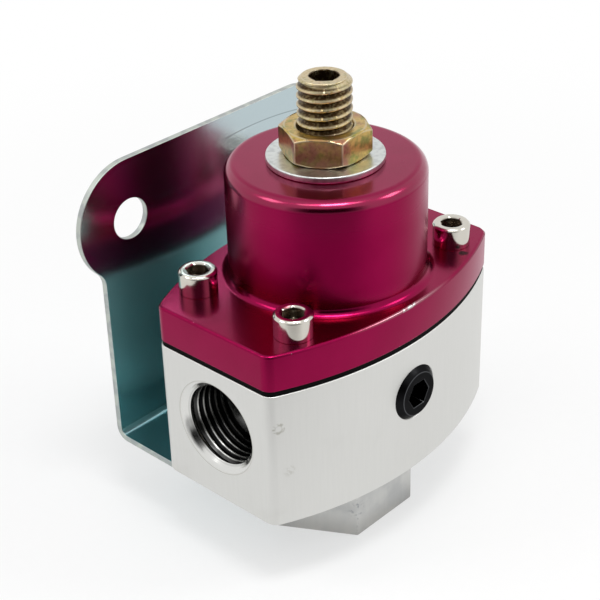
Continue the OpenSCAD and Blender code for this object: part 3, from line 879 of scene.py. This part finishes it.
def helical_groove():
    """Tree for a thread cutter: a trapezium swept along a helix that may taper."""
    graph, given = new_tree(
        GROOVE, Start_Radius="Float", End_Radius="Float", Height="Float", Turns="Float",
        Depth="Float", Inner_Width="Float", Outer_Width="Float", Finish="Material",
    )
    helix = graph.node("GeometryNodeCurveSpiral", inputs={
        "Resolution": 80, "Rotations": given("Turns"), "Start Radius": given("Start Radius"),
        "End Radius": given("End Radius"), "Height": given("Height"), "Reverse": True,
    })
    upright = graph.node("GeometryNodeSetCurveNormal", {"mode": "Z_UP"}, {"Curve": helix})
    groove = graph.node("GeometryNodeCurvePrimitiveQuadrilateral", {"mode": "TRAPEZOID"}, {
        "Height": given("Depth"), "Bottom Width": given("Inner Width"),
        "Top Width": given("Outer Width"), "Offset": 0.0,
    })
    turned = graph.node(
        "GeometryNodeTransform", inputs={"Geometry": groove, "Rotation": (0.0, 0.0, -math.pi / 2)}
    )
    swept = graph.node("GeometryNodeCurveToMesh", inputs={
        "Curve": upright, "Profile Curve": turned, "Fill Caps": True,
    })
    return end_tree(graph, swept, given("Finish"))


def cap_screw_pattern():
    """Tree that sets one cap screw on four corners, each with its own key angle."""
    graph, given = new_tree(
        "Cap screw pattern", Screw="Object", Spacing_X="Float", Spacing_Y="Float",
        Height="Float", Seed="Int", Finish="Material",
    )
    corners = graph.node("GeometryNodeMeshGrid", inputs={
        "Size X": given("Spacing X"), "Size Y": given("Spacing Y"),
        "Vertices X": 2, "Vertices Y": 2,
    })
    lift = graph.node("ShaderNodeCombineXYZ", inputs={"Z": given("Height")})
    raised = graph.node("GeometryNodeTransform", inputs={"Geometry": corners, "Translation": lift})
    angle = graph.node("FunctionNodeRandomValue", {"data_type": "FLOAT"}, {
        2: 0.0, 3: math.pi / 3, "Seed": given("Seed"),
    }, output=1)
    turn = graph.node("ShaderNodeCombineXYZ", inputs={"Z": angle})
    screw = graph.node(
        "GeometryNodeObjectInfo", {"transform_space": "ORIGINAL"}, {"Object": given("Screw")},
        output="Geometry",
    )
    placed = graph.node("GeometryNodeInstanceOnPoints", inputs={
        "Points": raised, "Instance": screw, "Rotation": turn,
    })
    return end_tree(graph, placed, given("Finish"))


def grown(tree, **inputs):
    """Runs a geometry tree on an empty object and returns its result as a plain mesh."""
    identifiers = {
        item.name: item.identifier for item in tree.interface.items_tree if item.in_out == "INPUT"
    }
    host = linked(tree.name, bpy.data.meshes.new(tree.name))
    modifier = host.modifiers.new("tree", "NODES")
    modifier.node_group = tree
    for label, given in inputs.items():
        modifier[identifiers[label.replace("_", " ")]] = given
    mesh = baked(host)
    bpy.data.objects.remove(host)
    bm = bmesh.new()
    bm.from_mesh(mesh)
    merge_and_turn(bm)
    bm.to_mesh(mesh)
    bm.free()
    return mesh


def thread_cutter(slot, pitch, run, radii, depth, widths):
    """A helical groove with its radius at both ends and its inner and outer width."""
    tree = bpy.data.node_groups.get(GROOVE) or helical_groove()
    return grown(
        tree, Start_Radius=radii[0], End_Radius=radii[1], Height=run, Turns=run / pitch,
        Depth=depth, Inner_Width=widths[0], Outer_Width=widths[1], Finish=finish(slot),
    )


def pipe_tap(mount, depth, slot):
    """A tapered thread cutter for a pipe port, upright with the port's mouth at the origin."""
    s = sizes()
    run = depth - TAP_START
    middle = MOUNTS[mount]["dims"]["r_mm"] * MM + (s.pipe_depth - TAP_BITE) / 2
    groove = s.pipe_pitch - s.pipe_pitch / CREST_PARTS
    tap = thread_cutter(
        slot, s.pipe_pitch, run, (middle, middle - s.pipe_taper * run), s.pipe_depth + TAP_BITE,
        (groove + TAP_BITE * FLANK, groove - s.pipe_depth * FLANK),
    )
    tap.transform(Matrix.Translation((0.0, 0.0, TAP_START)))
    return tap


class REGULATOR_OT_body(bpy.types.Operator):
    """Body block with rounded edges and two tapped outlets"""

    bl_idname = "regulator.body"
    bl_label = "Body"

    def execute(self, context):
        bm = cad_copy("body")
        edges = sharp_edges(bm, keep=on_levels((BODY_LOW.z, BODY_HIGH.z), BLOCK_REACH))
        round_edges(bm, edges, sizes().body_round)
        block = mesh_object("body_block", bm)
        for mount in ("outlet_port_left", "outlet_port_right"):
            tap = pipe_tap(mount, OUTLET_DEPTH, "machined_aluminium")
            inwards = -Vector(MOUNTS[mount]["axis"])
            face = Vector(MOUNTS[mount]["pos_m"])
            face.x = -inwards.x * BODY_HIGH.x
            turn = inwards.to_track_quat("Z", "Y").to_matrix().to_4x4()
            tap.transform(Matrix.Translation(face) @ turn @ Matrix.Rotation(TAP_TURN, 4, "Z"))
            carve(block, tap)
        complete(block, "body", "housing", "machined_aluminium")
        return {"FINISHED"}


class REGULATOR_OT_bonnet(bpy.types.Operator):
    """Red bonnet with softly rounded flange edges"""

    bl_idname = "regulator.bonnet"
    bl_label = "Bonnet"

    def execute(self, context):
        bm = cad_copy("bonnet")
        edges = sharp_edges(bm, keep=on_levels((DECK,), DECK_REACH))
        round_edges(bm, edges, sizes().flange_round, segments=2, profile=FLAT)
        under = sharp_edges(bm, keep=on_levels((BONNET_LOW.z,), BLOCK_REACH))
        round_edges(bm, under, sizes().hardware_round)
        complete(mesh_object("bonnet_shell", bm), "bonnet", "housing", "red_anodised")
        return {"FINISHED"}


class REGULATOR_OT_inlet_fitting(bpy.types.Operator):
    """Hex inlet fitting with rounded edges and a tapped inlet"""

    bl_idname = "regulator.inlet_fitting"
    bl_label = "Inlet fitting"

    def execute(self, context):
        bm = cad_copy("inlet_fitting")
        edges = sharp_edges(bm, keep=lambda *ends: min(end.xy.length for end in ends) > HEX_REACH)
        round_edges(bm, edges, sizes().fitting_round)
        hexagonal = mesh_object("hex_fitting", bm)
        carve(hexagonal, pipe_tap("inlet_port", INLET_DEPTH, "fitting_aluminium"))
        complete(hexagonal, "inlet_fitting", "housing", "fitting_aluminium")
        return {"FINISHED"}


class REGULATOR_OT_cover_screws(bpy.types.Operator):
    """Four nickel cap screws with hexagon sockets"""

    bl_idname = "regulator.cover_screws"
    bl_label = "Cover screws"

    def execute(self, context):
        blank = mesh_object("cap_screw_blank", loft(self.profile()))
        mesh = grown(
            cap_screw_pattern(), Screw=blank, Spacing_X=2 * SCREW_X, Spacing_Y=2 * SCREW_Y,
            Height=DECK, Seed=sizes().key_seed, Finish=finish("nickel_screws"),
        )
        bpy.data.objects.remove(blank)
        complete(linked("cap_screws", mesh), "cover_screws", "housing", "nickel_screws")
        return {"FINISHED"}

    def profile(self):
        """Rings of one screw from its tip to the ground of its socket, its head's seat at 0."""
        soft = HEAD_BEVEL / 5
        slight = soft * 0.3
        rim = HEAD_RADIUS - HEAD_BEVEL
        lead = KEY_FLATS / 2 / math.cos(math.pi / 6) + KEY_LEAD
        tip = SCREWS_LOW.z - DECK
        outside = (
            (SHANK_RADIUS - SHANK_BEVEL, tip), (SHANK_RADIUS, tip + SHANK_BEVEL),
            (SHANK_RADIUS, 0.0), (HEAD_RADIUS - soft, 0.0), (HEAD_RADIUS, soft),
            (HEAD_RADIUS, HEAD_HEIGHT - HEAD_BEVEL - soft),
            (HEAD_RADIUS - slight, HEAD_HEIGHT - HEAD_BEVEL),
            (rim, HEAD_HEIGHT - slight), (rim - soft, HEAD_HEIGHT),
            (lead + soft, HEAD_HEIGHT), (lead, HEAD_HEIGHT - slight),
        )
        return [
            *(circle(radius, z) for radius, z in outside),
            hexagon(KEY_FLATS, HEAD_HEIGHT - LEAD_DEPTH),
            hexagon(KEY_FLATS, HEAD_HEIGHT - KEY_DEPTH),
            circle(KEY_TIP, HEAD_HEIGHT - KEY_DEPTH - TIP_DEPTH),
        ]


class REGULATOR_OT_adjuster(bpy.types.Operator):
    """Threaded adjusting screw, lock nut and washer"""

    bl_idname = "regulator.adjuster"
    bl_label = "Adjuster"

    def execute(self, context):
        s = sizes()
        bm = cad_copy("adjusting_screw")
        round_edges(bm, sharp_edges(bm, 25), s.hardware_round, segments=2)
        screw = mesh_object("threaded_adjuster", bm)
        run = ADJUSTER_HIGH.z - ADJUSTER_LOW.z + 2 * s.screw_pitch
        crest = s.screw_pitch / CREST_PARTS
        middle = ADJUSTER_HIGH.x + (DIE_BITE - s.screw_depth) / 2
        die = thread_cutter(
            "yellow_zinc", s.screw_pitch, run, (middle, middle), s.screw_depth + DIE_BITE,
            (crest, s.screw_pitch - crest + DIE_BITE * FLANK),
        )
        die.transform(Matrix.Translation((0.0, 0.0, ADJUSTER_LOW.z - s.screw_pitch)))
        carve(screw, die)
        complete(screw, "adjusting_screw", "adjuster", "yellow_zinc")
        rounded_piece("hex_lock_nut", "lock_nut", "nut", "yellow_zinc", s.nut_round)
        rounded_piece(
            "stamped_washer", "flat_washer", "washer", "washer_zinc", s.hardware_round * 2, angle=30
        )
        return {"FINISHED"}


class REGULATOR_OT_bracket(bpy.types.Operator):
    """Bent sheet bracket with rolled cut edges"""

    bl_idname = "regulator.bracket"
    bl_label = "Bracket"

    def execute(self, context):
        bm = cad_copy("bracket", merge=0.05 * MM)
        round_edges(bm, sharp_edges(bm, 45), sizes().sheet_round)
        self.bare_edges(bm)
        complete(mesh_object("bent_bracket", bm), "bracket", "housing", "zinc_sheet")
        return {"FINISHED"}

    def bare_edges(self, bm):
        """Marks the sheet's cut faces as worn: those square to the foot's and plate's faces."""
        wear = bm.verts.layers.float[WEAR]
        bm.normal_update()
        foot = BODY_LOW.z + 0.1 * MM
        for face in bm.faces:
            side, through, upward = (abs(way) for way in face.normal)
            if face.calc_center_median().z <= foot:
                through, upward = upward, through
            if side > 0.5 or through < 0.1 and upward > 0.5:
                for vert in face.verts:
                    vert[wear] = 1.0


class REGULATOR_OT_gauge_plug(bpy.types.Operator):
    """Black pipe plug with a hexagon socket"""

    bl_idname = "regulator.gauge_plug"
    bl_label = "Gauge plug"

    def execute(self, context):
        width = sizes().hardware_round
        rounded_piece("socket_plug", "gauge_plug", "housing", "black_steel", width, segments=2)
        return {"FINISHED"}


class REGULATOR_OT_springs(bpy.types.Operator):
    """Coil springs that follow what they press on"""

    bl_idname = "regulator.springs"
    bl_label = "Springs"

    def execute(self, context):
        low, high = self.ends("main_spring")
        still = low.lerp(high, SPRING_STILL)
        for name, above, between in (
            ("main_spring_foot", False, ("housing", "diaphragm_stack", still, low)),
            ("main_spring_coils", True, ("housing", "button", still, high)),
        ):
            coil = mesh_object(name, part_of("main_spring", still.z, above))
            complete(coil, "main_spring", between, "inner_steel")
        coil = mesh_object("valve_coils", cad_copy("poppet_spring"))
        between = ("housing", "valve", *self.ends("poppet_spring"))
        complete(coil, "poppet_spring", between, "inner_steel")
        return {"FINISHED"}

    def ends(self, node):
        """The lowest and highest point of a spring on the axis."""
        return [Vector((0.0, 0.0, corner.z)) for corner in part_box(node)]


class REGULATOR_OT_diaphragm(bpy.types.Operator):
    """Diaphragm with a clamped rim and a disc between the plates"""

    bl_idname = "regulator.diaphragm"
    bl_label = "Diaphragm"

    def execute(self, context):
        low, high = (corner.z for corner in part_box("diaphragm"))
        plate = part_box("lower_plate")[1].x + DISC_MARGIN
        rim = mesh_object("diaphragm_rim", cad_copy("diaphragm"))
        carve(rim, rod(plate, low - CUT_PAST, high + CUT_PAST))
        complete(rim, "diaphragm", "housing", "black_rubber")
        disc = linked("diaphragm_disc", rod(plate, low, high))
        carve(disc, rod(STEM_HOLE, low - CUT_PAST, high + CUT_PAST))
        complete(disc, "diaphragm", "diaphragm_stack", "black_rubber")
        return {"FINISHED"}


class REGULATOR_OT_inner_works(bpy.types.Operator):
    """Finishes of the seals, the plates and the valve"""

    bl_idname = "regulator.inner_works"
    bl_label = "Inner works"

    def execute(self, context):
        for part in frame["record"]["subparts"]:
            node = frame["nodes"][part["node"]]
            if node.hide_render:
                continue
            material = finish(part["material_slot"])
            if not node.material_slots:
                node.data.materials.append(material)
            for place in node.material_slots:
                place.material = material
        return {"FINISHED"}


class REGULATOR_OT_stage(bpy.types.Operator):
    """Pale floor, white surroundings, soft lamps and the camera"""

    bl_idname = "regulator.stage"
    bl_label = "Stage"

    def execute(self, context):
        context.scene.view_settings.view_transform = "Standard"
        self.floor()
        self.surroundings(context.scene)
        self.flag()
        for lamp in LAMPS:
            self.lamp(*lamp)
        self.camera(context.scene)
        return {"FINISHED"}

    def seen(self, graph):
        """1 for the rays that look at the background, 0 for those that light the part."""
        camera, glossy, through = (
            graph.node("ShaderNodeLightPath", output=name)
            for name in ("Is Camera Ray", "Is Glossy Ray", "Is Transmission Ray")
        )
        return camera.math("MAXIMUM", camera.math("MAXIMUM", camera, glossy), through)

    def floor(self):
        """A pale floor that keeps the part's shadow and turns white further out."""
        f = Finish("studio_floor")
        pale = f.mix(f.noise(400, 3) * 0.1, "floor", "machined")
        matt = f.node("ShaderNodeBsdfPrincipled", inputs={
            "Base Color": pale, "Roughness": 1.0, "Specular IOR Level": 0.0,
        })
        white = f.node("ShaderNodeEmission", inputs={"Color": WHITE, "Strength": 1.0})
        far = f.step(f.away((0.0, 0.0, 0.0)), *FLOOR_FADE)
        share = self.seen(f) * (FLOOR_WHITE + far * (1.0 - FLOOR_WHITE))
        f.surface(f.node("ShaderNodeMixShader", inputs={0: share, 1: matt, 2: white}))
        bm = bmesh.new()
        bmesh.ops.create_circle(bm, cap_ends=True, segments=64, radius=FLOOR_RADIUS)
        disc = mesh_object("studio_floor", bm)
        disc.data.materials.append(f.material)

    def surroundings(self, scene):
        """Soft light all round, which looks plain white."""
        world = bpy.data.worlds.new("studio")
        world.use_nodes = True
        scene.world = world
        g = Graph(world.node_tree)
        g.tree.nodes.clear()
        soft, white = (
            g.node("ShaderNodeBackground", inputs={"Color": WHITE, "Strength": strength})
            for strength in (SOFT_LIGHT, 1.0)
        )
        both = g.node("ShaderNodeMixShader", inputs={0: self.seen(g), 1: soft, 2: white})
        g.node("ShaderNodeOutputWorld", inputs={"Surface": both})

    def flag(self):
        """A dark cloth before the part, soft at its rims, which only reflections see."""
        f = Finish("dark_flag")
        side, along, height = (f.along(axis) for axis in "XYZ")
        near = f.step(along * -1.0, FLAG_NEAR, FLAG_NEAR + FLAG_SOFT)
        spread = f.fade(abs(side) / (FLAG_POINT - along), *FLAG_SPREAD)
        cover = near * spread * (0.5 + f.step(height, *FLAG_RISE) * 0.5)
        dark = f.node("ShaderNodeBsdfDiffuse", inputs={"Color": tint("rubber")})
        clear = f.node("ShaderNodeBsdfTransparent")
        f.surface(f.node("ShaderNodeMixShader", inputs={0: cover, 1: clear, 2: dark}))
        bm = bmesh.new()
        bends = ((FLAG_NEAR, FLAG_LIFT), (FLAG_AWAY, FLAG_LIFT), (FLAG_AWAY, FLAG_TOP))
        rows = [
            [bm.verts.new((end * FLAG_AWAY, -away, z)) for end in (-1.0, 1.0)] for away, z in bends
        ]
        for low, high in zip(rows, rows[1:]):
            bm.faces.new((low[0], low[1], high[1], high[0]))
        card = mesh_object("dark_flag", bm)
        card.rotation_euler.z = CAMERA_AZIMUTH
        card.data.materials.append(f.material)
        card.visible_camera = card.visible_diffuse = card.visible_shadow = False

    def lamp(self, name, place, width, depth, watts):
        """A soft rectangular lamp that aims at the part."""
        light = bpy.data.lights.new(name, "AREA")
        light.shape = "RECTANGLE"
        light.size, light.size_y = width, depth
        light.energy = watts
        made = linked(name, light)
        made.location = place
        made.rotation_euler = (LAMP_AIM - Vector(place)).to_track_quat("-Z", "Y").to_euler()

    def camera(self, scene):
        """The camera that was fitted to the photo."""
        data = bpy.data.cameras.new("photo camera")
        data.sensor_width = CAMERA_SENSOR
        data.lens = CAMERA_LENS
        data.clip_start, data.clip_end = CAMERA_CLIP
        scene.camera = linked(data.name, data)
        scene.camera.matrix_world = (
            Matrix.Translation(CAMERA_PLACE)
            @ Matrix.Rotation(CAMERA_AZIMUTH, 4, "Z")
            @ Matrix.Rotation(math.pi / 2 - CAMERA_ELEVATION, 4, "X")
            @ Matrix.Rotation(CAMERA_ROLL, 4, "Z")
        )


OPERATORS = (
    REGULATOR_OT_body, REGULATOR_OT_bonnet, REGULATOR_OT_inlet_fitting, REGULATOR_OT_cover_screws,
    REGULATOR_OT_adjuster, REGULATOR_OT_bracket, REGULATOR_OT_gauge_plug, REGULATOR_OT_springs,
    REGULATOR_OT_diaphragm, REGULATOR_OT_inner_works, REGULATOR_OT_stage,
)


class REGULATOR_PT_pieces(bpy.types.Panel):
    """Lists the regulator's pieces, sizes and colours"""

    bl_idname = "REGULATOR_PT_pieces"
    bl_label = "Regulator"
    bl_space_type = "VIEW_3D"
    bl_region_type = "UI"
    bl_category = "Regulator"

    def draw(self, context):
        for operator in OPERATORS:
            self.layout.operator(operator.bl_idname)
        for group in (context.scene.regulator_sizes, context.scene.regulator_finishes):
            box = self.layout.box()
            for name in type(group).__annotations__:
                box.prop(group, name)


CLASSES = (RegulatorSizes, RegulatorFinishes, *OPERATORS, REGULATOR_PT_pieces)


def register():
    for cls in CLASSES:
        bpy.utils.register_class(cls)
    bpy.types.Scene.regulator_sizes = PointerProperty(type=RegulatorSizes)
    bpy.types.Scene.regulator_finishes = PointerProperty(type=RegulatorFinishes)


def unregister():
    del bpy.types.Scene.regulator_finishes
    del bpy.types.Scene.regulator_sizes
    for cls in reversed(CLASSES):
        bpy.utils.unregister_class(cls)


def main():
    register()
    bpy.ops.regulator.body()
    bpy.ops.regulator.bonnet()
    bpy.ops.regulator.inlet_fitting()
    bpy.ops.regulator.cover_screws()
    bpy.ops.regulator.adjuster()
    bpy.ops.regulator.bracket()
    bpy.ops.regulator.gauge_plug()
    bpy.ops.regulator.springs()
    bpy.ops.regulator.diaphragm()
    bpy.ops.regulator.inner_works()
    bpy.ops.regulator.stage()
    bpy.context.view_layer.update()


if __name__ == "__main__":
    main()
